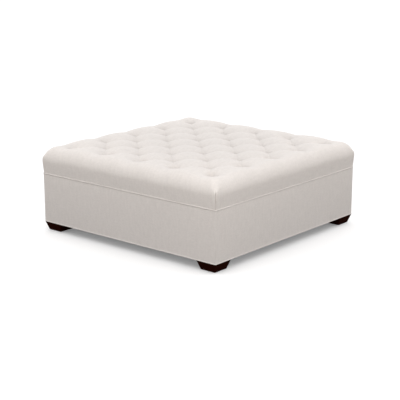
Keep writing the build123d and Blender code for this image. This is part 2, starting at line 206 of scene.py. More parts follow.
# Cloth of the base and of the underside. A rate is in waves to the metre, and a stretch is the
# share of it that is left along each axis.
panel_crowding = 0.5  # how far the points gather at the corners
corner_ease = 0.02  # from the corners, over which waves and puckers fade in
wave_depth = 0.0009
wave_rate = 5.0
wave_stretch = np.array([1.0, 0.5, 1.0])
wave_reach = 0.05  # from a welt, over which the waves fade in
pucker_depth = 0.0005
pucker_rate = 55.0
pucker_stretch = np.array([1.0, 0.15, 1.0])
pucker_reach = 0.012  # from a welt
side_spacing = 1.7  # between the four sides in the noise, so that no two are alike
seam_dip = 0.0022
seam_dip_reach = 0.004
hem_dip = 0.0008
hem_dip_reach = 0.003
side_offset = 3.0  # between the four sides in the cloth's coordinates
dust_cloth_inset = 0.019
dust_cloth_thickness = 0.0006
dust_cloth_rise = 0.0003
sag_depth = 0.004
sag_reach = 0.35
ripple_depth = 0.0008
ripple_rate = 7.0
ripple_reach = 0.08
block_start = 0.11  # from the corners, where the cloth lies flat on the corner blocks
block_end = 0.2
block_slant = 0.5  # how much faster the cloth comes clear of them inward

tiny = 1e-9  # keeps a divisor from being zero


def smooth_step(low, high, value):
    """Rises smoothly from 0 at low to 1 at high."""
    share = np.clip((value - low) / (high - low), 0, 1)
    return share * share * (3 - 2 * share)


def bell(distance, width, power=2):
    """Falls from 1 at no distance toward 0 a few widths away."""
    return np.exp(-((distance / width) ** power))


def quarter_turns(x, y, turn):
    """Coordinates after a number of quarter turns about the middle."""
    c, s = round(cos(turn * pi / 2)), round(sin(turn * pi / 2))
    return c * x - s * y, s * x + c * y


def crowded(places, share):
    """Places from -1 to 1, gathered toward both ends by a share."""
    return (1 - share) * places + share * np.sin(places * pi / 2)


def wander(points, rate, seed):
    """Smooth noise from about -1 to 1 at each point, the same in every run."""
    shift = Vector((seed * 7.31, seed * 3.17, seed * 5.73))
    shape = (1.0, 2.0, 2)  # dimension, lacunarity and octaves
    return np.array([noise.fractal(Vector(p) * rate + shift, *shape) for p in points])


# Mesh helpers


def make_object(name, points, faces, uvs=None):
    """A smooth-shaded mesh object, with its cloth coordinates in metres where they are given."""
    mesh = bpy.data.meshes.new(name)
    mesh.from_pydata([tuple(p) for p in points], [], [tuple(f) for f in faces])
    if uvs is not None:
        layer = mesh.uv_layers.new(name="cloth")
        loops = np.zeros(len(mesh.loops), dtype=np.int32)
        mesh.loops.foreach_get("vertex_index", loops)
        layer.data.foreach_set("uv", np.asarray(uvs, dtype=np.float32)[loops].ravel())
    mesh.polygons.foreach_set("use_smooth", [True] * len(mesh.polygons))
    mesh.update()
    made = bpy.data.objects.new(name, mesh)
    bpy.context.scene.collection.objects.link(made)
    return made


def thicken(piece, thickness, offset=-1.0):
    """Gives a sheet of cloth its thickness."""
    solidify = piece.modifiers.new("thickness", "SOLIDIFY")
    solidify.thickness = thickness
    solidify.offset = offset
    bpy.context.view_layer.objects.active = piece
    with bpy.context.temp_override(object=piece, active_object=piece):
        bpy.ops.object.modifier_apply(modifier="thickness")


def join(first, *others):
    """Makes one object of several."""
    pieces = [first, *others]
    with bpy.context.temp_override(
        active_object=first, object=first, selected_objects=pieces, selected_editable_objects=pieces
    ):
        bpy.ops.object.join()
    return first


def grid_faces(columns, rows):
    """Quads of a grid of points that are listed row by row."""
    faces = []
    for row in range(rows - 1):
        for column in range(columns - 1):
            a = row * columns + column
            faces.append((a, a + 1, a + 1 + columns, a + columns))
    return faces


def flipped(faces, shift):
    """The same faces looking the other way, on points that come later in the list."""
    return [tuple(reversed([i + shift for i in face])) for face in faces]


# Node helpers


class Nodes:
    """Builds one material's nodes."""

    def __init__(self, name):
        self.material = bpy.data.materials.new(name)
        self.material.use_nodes = True
        self.tree = self.material.node_tree
        self.shader = self.tree.nodes["Principled BSDF"]

    def add(self, kind, **settings):
        """A new node with its settings."""
        node = self.tree.nodes.new(kind)
        for key, value in settings.items():
            setattr(node, key, value)
        return node

    def link(self, source, target):
        """Joins an output to an input."""
        self.tree.links.new(source, target)

    def math(self, operation, first, second=None, third=None):
        """Arithmetic on up to three numbers or outputs."""
        node = self.add("ShaderNodeMath", operation=operation)
        for index, value in enumerate((first, second, third)):
            if value is None:
                continue
            if isinstance(value, (int, float)):
                node.inputs[index].default_value = value
            else:
                self.link(value, node.inputs[index])
        return node.outputs[0]

    def position(self, kind):
        """The three texture coordinates as separate outputs."""
        source = self.add("ShaderNodeTexCoord").outputs[kind]
        parts = self.add("ShaderNodeSeparateXYZ")
        self.link(source, parts.inputs[0])
        return parts.outputs

    def coordinates(self, kind, scale=(1, 1, 1)):
        """Texture coordinates stretched by a scale per axis."""
        source = self.add("ShaderNodeTexCoord").outputs[kind]
        mapping = self.add("ShaderNodeMapping")
        mapping.inputs["Scale"].default_value = scale
        self.link(source, mapping.inputs["Vector"])
        return mapping.outputs[0]

    def noise(self, vector, scale=1.0, detail=3.0, roughness=0.6):
        """Soft noise at the given coordinates."""
        node = self.add("ShaderNodeTexNoise")
        node.inputs["Scale"].default_value = scale
        node.inputs["Detail"].default_value = detail
        node.inputs["Roughness"].default_value = roughness
        self.link(vector, node.inputs["Vector"])
        return node.outputs["Fac"]

    def ramp(self, value, stops):
        """A colour for each value, from stops of a position and a colour."""
        node = self.add("ShaderNodeValToRGB")
        elements = node.color_ramp.elements
        for element, (position, colour) in zip(elements, stops):
            element.position = position
            element.color = (*colour, 1)
        self.link(value, node.inputs["Fac"])
        return node.outputs["Color"]

    def bump(self, height, distance, strength):
        """A normal that follows a fine relief."""
        node = self.add("ShaderNodeBump")
        node.inputs["Distance"].default_value = distance
        node.inputs["Strength"].default_value = strength
        self.link(height, node.inputs["Height"])
        return node.outputs["Normal"]

    def finish(self, colour, normal, **sockets):
        """Links colour and normal to the shader, sets its other sockets and gives the material."""
        self.link(colour, self.shader.inputs["Base Color"])
        self.link(normal, self.shader.inputs["Normal"])
        for name, value in sockets.items():
            self.shader.inputs[name.replace("_", " ")].default_value = value
        return self.material


def shades(colour, spread, low=0.3, high=0.7):
    """Stops from a darker to a lighter shade of a colour."""
    darker = tuple(c * (1 - spread) for c in colour)
    lighter = tuple(min(1, c * (1 + spread)) for c in colour)
    return [(low, darker), (high, lighter)]


# Materials

linen = (0.640, 0.602, 0.575)
thread_pitch = 0.0022
slub_share = 0.15  # how much each set of uneven threads changes the linen's shade
blotch_share = 0.20  # how much its broad bands and its mottling each change it
bond_pitch = 0.003  # of the dimples in the dust cloth


def cover_linen():
    """Plain-weave linen with uneven threads, in the cloth's own coordinates in metres."""
    n = Nodes("cover_linen")
    flat = n.position("UV")
    thread = 2 * pi / thread_pitch
    across = n.math("SINE", n.math("MULTIPLY", flat["X"], thread))
    along = n.math("SINE", n.math("MULTIPLY", flat["Y"], thread))
    crossing = n.math("MULTIPLY", across, along)
    weft_slubs = n.noise(n.coordinates("UV", (12, 420, 1)))
    warp_slubs = n.noise(n.coordinates("UV", (420, 12, 1)))
    bands = n.noise(n.coordinates("UV", (70, 22, 1)), detail=2.0, roughness=0.5)
    mottling = n.noise(n.coordinates("UV", (75, 120, 1)), detail=1.0, roughness=0.5)
    slubs = n.math("ADD", weft_slubs, warp_slubs)
    blotches = n.math("MULTIPLY_ADD", bands, blotch_share, n.math("MULTIPLY", mottling, blotch_share))
    mixed = n.math("MULTIPLY_ADD", slubs, slub_share, blotches)
    tone = n.ramp(mixed, shades(linen, 0.08, 0.21, 0.49))
    height = n.math("ADD", n.math("MULTIPLY", crossing, 0.5), slubs)
    normal = n.bump(height, distance=0.00016, strength=0.7)
    sheen = {"Sheen_Weight": 0.12, "Sheen_Roughness": 0.5}
    return n.finish(tone, normal, Roughness=0.92, Specular_IOR_Level=0.18, **sheen)


def plain_fibre(name, colour, scale, bump):
    """Felted or foamed material whose cells show at close range."""
    n = Nodes(name)
    cells = n.noise(n.coordinates("Object"), scale)
    tone = n.ramp(cells, shades(colour, 0.08))
    normal = n.bump(cells, distance=bump, strength=0.6)
    return n.finish(tone, normal, Roughness=0.95, Specular_IOR_Level=0.1)


def timber(name, colour, spread, roughness, grain, fine, shine=0.25):
    """Straight-grained wood, with the scale per axis of its broad grain and of its pores."""
    n = Nodes(name)
    broad = n.noise(n.coordinates("Object", grain), roughness=0.55)
    pores = n.noise(n.coordinates("Object", fine))
    mixed = n.math("MULTIPLY_ADD", pores, 0.45, n.math("MULTIPLY", broad, 0.55))
    tone = n.ramp(mixed, shades(colour, spread))
    normal = n.bump(pores, distance=0.0001, strength=0.35)
    return n.finish(tone, normal, Roughness=roughness, Specular_IOR_Level=shine)


def plain_metal(name, colour, roughness):
    """Metal with fine scratches."""
    n = Nodes(name)
    scratches = n.noise(n.coordinates("Object", (300, 300, 60)), detail=2.0, roughness=0.5)
    tone = n.ramp(scratches, shades(colour, 0.08))
    normal = n.bump(scratches, distance=0.00003, strength=0.4)
    return n.finish(tone, normal, Roughness=roughness, Metallic=1.0)


def dust_fabric():
    """Black non-woven cloth with a fine dimpled bond pattern."""
    n = Nodes("dust_fabric")
    flat = n.position("Object")
    step = 2 * pi / bond_pitch
    rising = n.math("ADD", flat["X"], flat["Y"])
    falling = n.math("SUBTRACT", flat["X"], flat["Y"])
    first = n.math("SINE", n.math("MULTIPLY", rising, step))
    second = n.math("SINE", n.math("MULTIPLY", falling, step))
    dimples = n.math("MULTIPLY", first, second)
    fibres = n.noise(n.coordinates("Object"), 700)
    tone = n.ramp(fibres, [(0.3, (0.018, 0.018, 0.019)), (0.7, (0.045, 0.045, 0.048))])
    height = n.math("MULTIPLY_ADD", fibres, 0.5, dimples)
    normal = n.bump(height, distance=0.0001, strength=0.5)
    return n.finish(tone, normal, Roughness=0.85, Specular_IOR_Level=0.3)


def espresso_wood():
    """Dark stained wood, its grain upright, with little shine."""
    colour = (0.0165, 0.0022, 0.0004)
    grains = {"grain": (40, 40, 3), "fine": (420, 420, 14)}
    return timber("espresso_wood", colour, spread=0.35, roughness=0.55, shine=0.03, **grains)


def raw_plywood():
    """Pale plywood without a finish."""
    grains = {"grain": (3, 14, 60), "fine": (12, 160, 300)}
    return timber("raw_plywood", (0.72, 0.55, 0.36), spread=0.12, roughness=0.7, **grains)


def raw_softwood():
    """Sawn softwood without a finish."""
    grains = {"grain": (2, 30, 30), "fine": (8, 220, 220)}
    return timber("raw_softwood", (0.78, 0.62, 0.41), spread=0.12, roughness=0.65, **grains)


materials = {
    "cover_fabric": cover_linen(),
    "filling": plain_fibre("filling_fibre", (0.90, 0.89, 0.85), scale=900, bump=0.0004),
    "twine": plain_fibre("tufting_twine", (0.82, 0.76, 0.62), scale=2500, bump=0.0002),
    "plywood": raw_plywood(),
    "softwood": raw_softwood(),
    "dark_wood": espresso_wood(),
    "steel": plain_metal("zinc_plated_steel", (0.62, 0.62, 0.62), roughness=0.38),
    "dust_cloth": dust_fabric(),
    "glide_plastic": plain_fibre("glide_plastic", (0.12, 0.11, 0.10), scale=1200, bump=0.00005),
}

# Form of the top section


def profile_lengths():
    """Radii of the profile's crown and lower side, and lengths of its crown, roll and side."""
    end_rise = sin(roll_end)
    crown_radius = (field_height - bulge_height - roll_radius * end_rise) / (1 - end_rise)
    swell = seam_pinch + side_bulge
    side_radius = (swell**2 + (bulge_height - seam_height) ** 2) / (2 * swell)
    crown = crown_radius * (pi / 2 - roll_end)
    roll = roll_radius * roll_end
    side = side_radius * asin((bulge_height - cover_low) / side_radius)
    return crown_radius, side_radius, crown, roll, side


def profile_point(length):
    """Distance from the middle of the ottoman and height, at a length along the profile."""
    crown_radius, side_radius, crown, roll, side = profile_lengths()
    out = half_width + side_bulge
    roll_x = out - roll_radius
    crown_x = roll_x + (roll_radius - crown_radius) * cos(roll_end)
    crown_z = bulge_height + (roll_radius - crown_radius) * sin(roll_end)
    if length < crown:
        angle = length / crown_radius
        return crown_x + crown_radius * sin(angle), crown_z + crown_radius * cos(angle)
    if length < crown + roll:
        angle = roll_end - (length - crown) / roll_radius
        return roll_x + roll_radius * cos(angle), bulge_height + roll_radius * sin(angle)
    angle = (length - crown - roll) / side_radius
    return out - side_radius * (1 - cos(angle)), bulge_height - side_radius * sin(angle)


def profile_slope(length, total):
    """Angle at which the profile falls at a length along it."""
    near = 0.001
    ahead, ahead_height = profile_point(min(length + near, total))
    behind, behind_height = profile_point(max(length - near, 0))
    return atan2(behind_height - ahead_height, ahead - behind)


def rounded_side(half, radius, along):
    """Points and outward directions of the front side of a rounded square.

    Each point is given by how far it lies from the middle of the side, along the line.
    """
    run = half - radius
    turn = np.clip((np.abs(along) - run) / max(radius, tiny), 0, pi / 4)
    x = np.where(np.abs(along) > run, run + radius * np.sin(turn), np.abs(along)) * np.sign(along)
    y = -half + radius * (1 - np.cos(turn))
    return x, y, np.sin(turn) * np.sign(along), -np.cos(turn)


def ring_points(half, radius, places):
    """Points round a rounded square, each side from corner to corner at places from -1 to 1.

    Gives the points, how far each lies along its side, and its outward direction.
    """
    along = np.asarray(places) * (half - radius + radius * pi / 4)
    x, y, lean_x, lean_y = rounded_side(half, radius, along)
    points, directions = [], []
    for side in range(4):
        points.append(np.stack(quarter_turns(x, y, side), axis=1))
        directions.append(np.stack(quarter_turns(lean_x, lean_y, side), axis=1))
    return np.concatenate(points), np.tile(along, 4), np.concatenate(directions)


def lattice(plan):
    """Where each point lies between the pleats: 0 in the middle of a pillow and 1 on a pleat."""
    held = np.clip(plan, -outer_tuft, outer_tuft)
    rising = (held[:, 0] + held[:, 1]) / (2 * half_pitch)
    falling = (held[:, 0] - held[:, 1]) / (2 * half_pitch)
    return [np.abs(2 * (line - np.floor(line)) - 1) for line in (rising, falling)]


def tuft_gap(plan):
    """Distance from each point to the nearest tuft."""
    gap = np.full(len(plan), np.inf)
    for tuft in tuft_points:
        gap = np.minimum(gap, np.hypot(*(plan - tuft).T))
    return gap


def crease_depth(plan):
    """Depth of the narrow fold along each pleat, deeper toward the tufts."""
    shares = lattice(plan)
    pleat_spacing = half_pitch * 2**0.5
    folds = []
    for across, along in (shares, shares[::-1]):
        away = (1 - across) * pleat_spacing / 2
        depth = crease_middle + (crease_tuft - crease_middle) * along**crease_power
        folds.append(depth * np.exp(-away / crease_width))
    return np.maximum(*folds)


def pillow_share(share):
    """How far the cloth has fallen between the middle of a pillow and a pleat."""
    rounded = 0.5 - 0.5 * np.cos(pi * share)
    return (1 - round_share) * share**pillow_power + round_share * rounded


def sink(plan):
    """How far the tufts and pleats draw the cloth down at each point of the plan."""
    across, along = [pillow_share(share) for share in lattice(plan)]
    pillow = pillow_drop * (across + along + crossing_share * across * along)
    held = np.clip(plan, -outer_tuft, outer_tuft)
    beyond = np.hypot(*(plan - held).T)
    fade = (1 - late_fade_share) * bell(beyond, fade_width)
    fade = fade + late_fade_share * bell(beyond, late_fade_width)
    near_side = smooth_step(-near_band, near_band, plan[:, 0] - plan[:, 1])
    edge = np.abs(plan).max(axis=1) > outer_tuft - half_pitch / 2
    mouth = bell(np.maximum(0, tuft_gap(plan) - mouth_radius), mouth_width, mouth_power)
    well = mouth_depth * (1 - far_mouth_share * edge * (1 - near_side)) * mouth
    pull = tuft_pull * bell(tuft_gap(plan - pull_lean_share * (plan - held)), pull_width, pull_power)
    inward = plan * outer_tuft / (outer_tuft - dimple_inset)
    dimple = dimple_depth * edge * near_side * bell(tuft_gap(inward), dimple_width)
    return np.minimum((pillow + crease_depth(plan)) * fade + well + pull + dimple, well_depth)


def side_fullness(length, half, along, cells):
    """How far the padding fills the cloth out beyond the profile, round one ring."""
    fullness = border_fullness * bell(length - border_length, border_width)
    width = shoulder_rise if length < shoulder_length else shoulder_fall
    fullness = fullness + shoulder_fullness * bell(length - shoulder_length, width)
    slack = np.repeat(corner_slack, cells)
    slack = np.where(along < 0, slack, np.roll(slack, -cells))
    fullness = fullness * (1 - slack * smooth_step(half - slack_start, half - slack_full, np.abs(along)))
    to_corner = along.max() - np.abs(along)
    sewn = float(smooth_step(sewn_start, sewn_full, np.array(length)))
    fullness = fullness - sewn * groove_depth * bell(to_corner, groove_width)
    folds = fold_depth * np.cos(2 * pi * to_corner / fold_pitch) * np.exp(-to_corner / fold_reach)
    return fullness + sewn * folds * smooth_step(fold_start, fold_full, to_corner)


def cushion_grid(cells, rows, crowding):
    """The points of the top section, a square grid and the rings round it.

    Gives the points, their places in the flat cloth and their outward directions. Crowding is
    how far the points of the lower rings gather at the corners.
    """
    side = np.linspace(-outer_tuft, outer_tuft, cells + 1)
    inner = np.array([(x, y) for y in side for x in side])
    points = [np.column_stack([inner, np.full(len(inner), field_height)])]
    uvs = [inner.copy()]
    directions = [np.tile([0.0, 0.0, 1.0], (len(inner), 1))]
    total = sum(profile_lengths()[2:])
    even = np.linspace(-1, 1, cells + 1)[:-1]
    for row in range(1, rows + 1):
        length = total * row / rows
        half, height = profile_point(length)
        slope = profile_slope(length, total)
        radius = float(np.interp(length, corner_stations, corner_radii))
        crowd = crowding * float(smooth_step(crowd_start, crowd_full, np.array(length)))
        ring, along, lean = ring_points(half, radius, crowded(even, crowd))
        fullness = side_fullness(length, half, along, cells)
        ring = ring + lean * (fullness * sin(slope))[:, None]
        points.append(np.column_stack([ring, height + fullness * cos(slope)]))
        directions.append(np.column_stack([lean * sin(slope), np.full(len(ring), cos(slope))]))
        out = outer_tuft + length
        for turn in range(4):
            part = along[turn * cells : (turn + 1) * cells]
            uvs.append(np.column_stack(quarter_turns(part, np.full(cells, -out), turn)))
    return np.concatenate(points), np.concatenate(uvs), np.concatenate(directions)


def cushion_faces(cells, rows):
    """Faces of the grid and rings, with the inner squares cut along the pleats' directions."""
    edge = (
        list(range(cells))
        + [row * (cells + 1) + cells for row in range(cells)]
        + [cells * (cells + 1) + cells - column for column in range(cells)]
        + [(cells - row) * (cells + 1) for row in range(cells)]
    )
    faces = []
    per_pitch = cells // (tuft_lines - 1)
    for row in range(cells):
        for column in range(cells):
            a = row * (cells + 1) + column
            b, c, d = a + 1, a + cells + 2, a + cells + 1
            if (column // per_pitch + row // per_pitch) % 2 == 0:
                faces += [(a, b, c), (a, c, d)]
            else:
                faces += [(a, b, d), (b, c, d)]
    start = (cells + 1) ** 2
    around = 4 * cells
    for row in range(rows):
        for place in range(around):
            beside = (place + 1) % around
            if row == 0:
                upper, upper_beside = edge[place], edge[beside]
            else:
                upper = start + (row - 1) * around + place
                upper_beside = start + (row - 1) * around + beside
            lower = start + row * around + place
            lower_beside = start + row * around + beside
            faces.append((upper, lower, lower_beside, upper_beside))
    return faces


def hold(plan, cells, rows):
    """How firmly each point is held while the cloth settles: the tufts, folds and boxed sides."""
    creases = crease_depth(plan) / crease_middle
    weights = pleat_hold_share * np.minimum(1, creases * pleat_grip_share)
    weights[np.abs(plan).max(axis=1) > outer_tuft + hold_margin] = 0
    weights[tuft_gap(plan) < tuft_hold_radius] = 1
    lengths = sum(profile_lengths()[2:]) * np.arange(1, rows + 1) / rows
    boxed = smooth_step(boxed_start, boxed_full, lengths)
    boxed = ring_hold_share + (1 - ring_hold_share) * boxed
    rings = weights[(cells + 1) ** 2 :]
    np.maximum(rings, np.repeat(boxed, 4 * cells), out=rings)
    return weights


def settle(cells, rows, crowding):
    """How far each point of a coarse cover moves when pressure fills it out like its wadding."""
    points, _, _ = cushion_grid(cells, rows, crowding)
    points[:, 2] -= sink(points[:, :2])
    cloth = make_object("settling_cover", points, cushion_faces(cells, rows))
    held = cloth.vertex_groups.new(name="held")
    for index, weight in enumerate(hold(points[:, :2], cells, rows)):
        if weight > least_hold:
            held.add([index], float(weight), "REPLACE")
    modifier = cloth.modifiers.new("cloth", "CLOTH")
    modifier.settings.quality = 5
    modifier.settings.mass = 0.02
    modifier.settings.tension_stiffness = 15
    modifier.settings.compression_stiffness = 15
    modifier.settings.bending_stiffness = 0.5
    modifier.settings.use_pressure = True
    modifier.settings.uniform_pressure_force = 4
    modifier.settings.vertex_group_mass = "held"
    modifier.settings.effector_weights.gravity = 0
    modifier.collision_settings.use_collision = False
    modifier.collision_settings.use_self_collision = False
    modifier.point_cache.frame_end = settle_frames
    scene = bpy.context.scene
    for frame_number in range(1, settle_frames + 1):
        scene.frame_set(frame_number)
    settled = cloth.evaluated_get(bpy.context.evaluated_depsgraph_get())
    moved = np.zeros(3 * len(points), dtype=np.float32)
    settled.data.vertices.foreach_get("co", moved)
    bpy.data.objects.remove(cloth)
    scene.frame_set(1)
    moves = moved.reshape(-1, 3) - points
    far = np.linalg.norm(moves, axis=1)
    return moves * np.minimum(1, settle_limit / np.maximum(far, tiny))[:, None]


def halfway(values, closed):
    """Adds the mean between each pair of neighbours along the first axis."""
    after = np.roll(values, -1, axis=0)
    both = np.stack([values, (values + after) / 2], axis=1).reshape(-1, *values.shape[1:])
    return both if closed else both[:-1]


def refine(moves, cells, rows):
    """Carries the coarse cover's moves over to a cover with twice as many cells and rows."""
    inner = moves[: (cells + 1) ** 2].reshape(cells + 1, cells + 1, 3)
    rings = moves[(cells + 1) ** 2 :].reshape(rows, 4 * cells, 3)
    edge = np.concatenate([inner[0, :-1], inner[:-1, -1], inner[-1, :0:-1], inner[:0:-1, 0]])
    rings = halfway(np.concatenate([edge[None], rings]), False)[1:]
    rings = halfway(rings.swapaxes(0, 1), True).swapaxes(0, 1)
    inner = halfway(halfway(inner, False).swapaxes(0, 1), False).swapaxes(0, 1)
    return np.concatenate([inner.reshape(-1, 3), rings.reshape(-1, 3)])


def tufted_cover():
    """The tufted cover of the top section."""
    cells, rows, crowding = 192, 52, 1.0
    points, uvs, _ = cushion_grid(cells, rows, crowding)
    points[:, 2] -= sink(points[:, :2])
    points = points + refine(settle(cells // 2, rows // 2, crowding), cells // 2, rows // 2)
    cover = make_object("top_cushion_cover", points, cushion_faces(cells, rows), uvs)
    thicken(cover, cover_thickness)
    return cover


# Welts


def tube(name, half, height, seed):
    """A piped cord round a rounded square, with the slight waviness of hand sewing."""
    places = crowded(np.linspace(-1, 1, cord_steps + 1)[:-1], cord_crowding)
    path, _, lean = ring_points(half, cord_corner, places)
    samples = np.column_stack([path, np.full(len(path), height)])
    drift = wander(samples, cord_drift_rate, seed) * cord_wave
    lift = wander(samples, cord_lift_rate, seed + 1) * cord_wave
    radius = cord_radius * (1 + cord_swell * wander(samples, cord_swell_rate, seed + 2))
    angles = np.arange(cord_facets) * 2 * pi / cord_facets
    rings = []
    for angle in angles:
        out = path + lean * (np.cos(angle) * radius + drift)[:, None]
        rings.append(np.column_stack([out, height + lift + np.sin(angle) * radius]))
    points = np.stack(rings, axis=1).reshape(-1, 3)
    count = len(path)
    faces = []
    for place in range(count):
        here = place * cord_facets
        beside = (place + 1) % count * cord_facets
        for facet in range(cord_facets):
            after = (facet + 1) % cord_facets
            faces.append((here + facet, beside + facet, beside + after, here + after))
    steps = np.hypot(*(np.roll(path, -1, axis=0) - path).T)
    travelled = np.concatenate([[0], np.cumsum(steps)[:-1]])
    around = np.tile(angles * cord_radius, count)
    travel = np.repeat(travelled, cord_facets)
    diagonal = 0.7071
    uvs = np.column_stack([(travel + around) * diagonal, (travel - around) * diagonal])
    return make_object(name, points, faces, uvs)


def seam_piping():
    """The welt between the top section and the base."""
    return tube("seam_piping", half_width + seam_cord_out, seam_height, 3)


def hem_tail():
    """The flat tail of the hem welt, which is stapled up under the frame."""
    places = np.linspace(-1, 1, tail_steps + 1)[:-1]
    outer_half = half_width - cord_radius
    outer, _, _ = ring_points(outer_half, tail_outer_corner, places)
    inner, _, _ = ring_points(outer_half - tail_width, tail_inner_corner, places)
    count = len(outer)
    low = np.full(count, body_bottom + tail_rise)
    high = low + tail_thickness
    points = np.concatenate(
        [np.column_stack(ring) for ring in ((outer, high), (outer, low), (inner, low), (inner, high))]
    )
    faces = []
    for ring in range(4):
        here = ring * count
        after = (ring + 1) % 4 * count
        for place in range(count):
            beside = (place + 1) % count
            faces.append((here + place, here + beside, after + beside, after + place))
    return make_object("hem_tail", points, faces, points[:, :2])


def hem_piping():
    """The thin welt along the lower edge, with its tail."""
    return join(tube("hem_piping", half_width, body_bottom + cord_radius, 11), hem_tail())


# Base


def base_panel(name, turn):
    """One flat cloth side of the base, with slight waves and small puckers beside the welts."""
    columns, rows = 221, 45
    places = crowded(np.linspace(-1, 1, columns), panel_crowding)
    heights = np.linspace(0, 1, rows)
    heights = base_low + (base_high - base_low) * (0.5 - 0.5 * np.cos(pi * heights))
    along = places * (half_width - base_corner + base_corner * pi / 4)
    x, y, _, _ = rounded_side(half_width, base_corner, along)
    samples = np.array([(a, h, side_spacing * turn) for h in heights for a in along])
    waves = wander(samples * wave_stretch, wave_rate, seed=21 + turn)
    puckers = wander(samples * pucker_stretch, pucker_rate, seed=31 + turn)
    z = samples[:, 1]
    from_welt = np.minimum(z - base_low, base_high - z)
    free = smooth_step(0, corner_ease, half_width - np.abs(samples[:, 0]))
    press = wave_depth * waves * smooth_step(0, wave_reach, from_welt)
    press = press + pucker_depth * puckers * np.exp(-from_welt / pucker_reach)
    press = press - seam_dip * np.exp(-(base_high - z) / seam_dip_reach)
    press = press - hem_dip * np.exp(-(z - base_low) / hem_dip_reach)
    deep = np.tile(y, rows) - press * free
    points = np.column_stack([*quarter_turns(np.tile(x, rows), deep, turn), z])
    uvs = np.column_stack([samples[:, 0] + side_offset * turn, z])
    panel = make_object(name, points, grid_faces(columns, rows), uvs)
    thicken(panel, cloth_thickness)
    return panel


def panel_padding(name, turn):
    """The thin wadding behind one side of the base."""
    columns, rows = 41, 9
    outer = half_width - padding_back
    inner = outer - padding_thickness
    low, high = base_low + padding_margin, base_high - padding_margin
    front, back = [], []
    for height in np.linspace(0, 1, rows):
        swell = padding_swell * sin(pi * height)
        z = low + (high - low) * height
        for share in np.linspace(-1, 1, columns):
            front.append((share * (outer - padding_margin), -outer - swell * (1 - share**2), z))
            back.append((share * (inner - padding_margin), -inner, z))
    points = np.array(front + back)
    count = columns * rows
    faces = grid_faces(columns, rows)
    faces += flipped(faces, count)
    rim = (
        list(range(columns))
        + [row * columns + columns - 1 for row in range(1, rows)]
        + [count - 1 - i for i in range(1, columns)]
        + [row * columns for row in range(rows - 2, 0, -1)]
    )
    for here, there in zip(rim, rim[1:] + rim[:1]):
        faces.append((here, here + count, there + count, there))
    turned = np.column_stack([*quarter_turns(points[:, 0], points[:, 1], turn), points[:, 2]])
    return make_object(name, turned, faces, np.column_stack([points[:, 0], points[:, 2]]))


# Filling of the top


def filling_body(name, depth, high, low, clearance):
    """A layer of filling at a depth under the cover, pressed down under the tufts and pleats."""
    cells, rows = 96, 26
    points, uvs, directions = cushion_grid(cells, rows, 0.0)
    drawn = sink(points[:, :2])
    cover = points[:, 2] - drawn - fold_room * smooth_step(fold_room_start, fold_room_full, drawn)
    points = points - directions * depth
    around = 4 * cells
    inner = (cells + 1) ** 2
    rings = points[inner:, 2].reshape(rows, around).min(axis=1)
    kept = int((rings > low + layer_margin).sum())
    points = points[: inner + kept * around]
    count = len(points)
    points[:, 2] = np.minimum(np.minimum(points[:, 2], high), cover[:count] - clearance)
    lower = np.minimum(low, points[:, 2] - layer_least)
    under = np.column_stack([points[:, :2], lower])
    faces = cushion_faces(cells, kept)
    faces += flipped(faces, count)
    last = count - around
    for place in range(around):
        beside = (place + 1) % around
        faces.append((last + place, last + place + count, last + beside + count, last + beside))
    flat = uvs[:count]
    return make_object(name, np.concatenate([points, under]), faces, np.concatenate([flat, flat]))


# Buttons

# Distance from the button's axis and height, as shares of its radius and height, from near the
# top down to the underside
button_outline_shares = [
    (0.2, 0.985), (0.4, 0.935), (0.6, 0.84), (0.78, 0.68), (0.91, 0.46), (0.985, 0.22), (1.0, 0.08),
    (0.97, 0.0), (0.6, 0.0),
]


def covered_buttons():
    """One small cloth-covered button in each tuft."""
    sides = 28
    levels = len(button_outline_shares)
    points, faces, uvs = [], [], []
    seat = field_height - well_depth + button_lift
    for number, (x, y) in enumerate(tuft_points):
        start = len(points)
        points.append((x, y, seat + button_height))
        uvs.append((x, y))
        for out, up in button_outline_shares:
            for side in range(sides):
                angle = 2 * pi * side / sides
                gather = button_gather_depth * sin(button_gathers * angle + number)
                reach = out * button_radius * (1 + gather * out)
                place = (x + reach * cos(angle), y + reach * sin(angle))
                points.append((*place, seat + up * button_height))
                uvs.append(place)
        for side in range(sides):
            faces.append((start, start + 1 + side, start + 1 + (side + 1) % sides))
        for level in range(levels - 1):
            for side in range(sides):
                a = start + 1 + level * sides + side
                b = start + 1 + level * sides + (side + 1) % sides
                faces.append((a, a + sides, b + sides, b))
        last = start + 1 + (levels - 1) * sides
        faces.append(tuple(last + side for side in reversed(range(sides))))
    return make_object("covered_buttons", points, faces, uvs)


# Underside


def underside_cloth():
    """The dust cloth, tight round its edge and over the corner blocks, sagging a little between."""
    half = half_width - dust_cloth_inset
    count = 81
    side = np.linspace(-half, half, count)
    points = np.array([(x, y, 0.0) for y in side for x in side])
    reach = np.abs(points[:, :2])
    edge = half - reach.max(axis=1)
    clear = smooth_step(block_start, block_end, half - reach.min(axis=1) + edge * block_slant)
    sag = sag_depth * smooth_step(0, sag_reach, edge) * clear
    ripples = wander(points, ripple_rate, seed=41) * ripple_depth
    ripples = ripples * smooth_step(0, ripple_reach, edge) * clear
    points[:, 2] = body_bottom + dust_cloth_rise - sag - np.abs(ripples)
    cloth = make_object("underside_cloth", points, grid_faces(count, count), points[:, :2])
    thicken(cloth, dust_cloth_thickness, 1.0)
    return cloth


# Assembly


def dress(piece, slot, *nodes):
    """Gives a piece its finish, lets it stand for its modelled parts and hangs it on the body."""
    piece.data.materials.clear()
    piece.data.materials.append(materials[slot])
    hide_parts(*nodes)
    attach(piece, "root")
    return piece


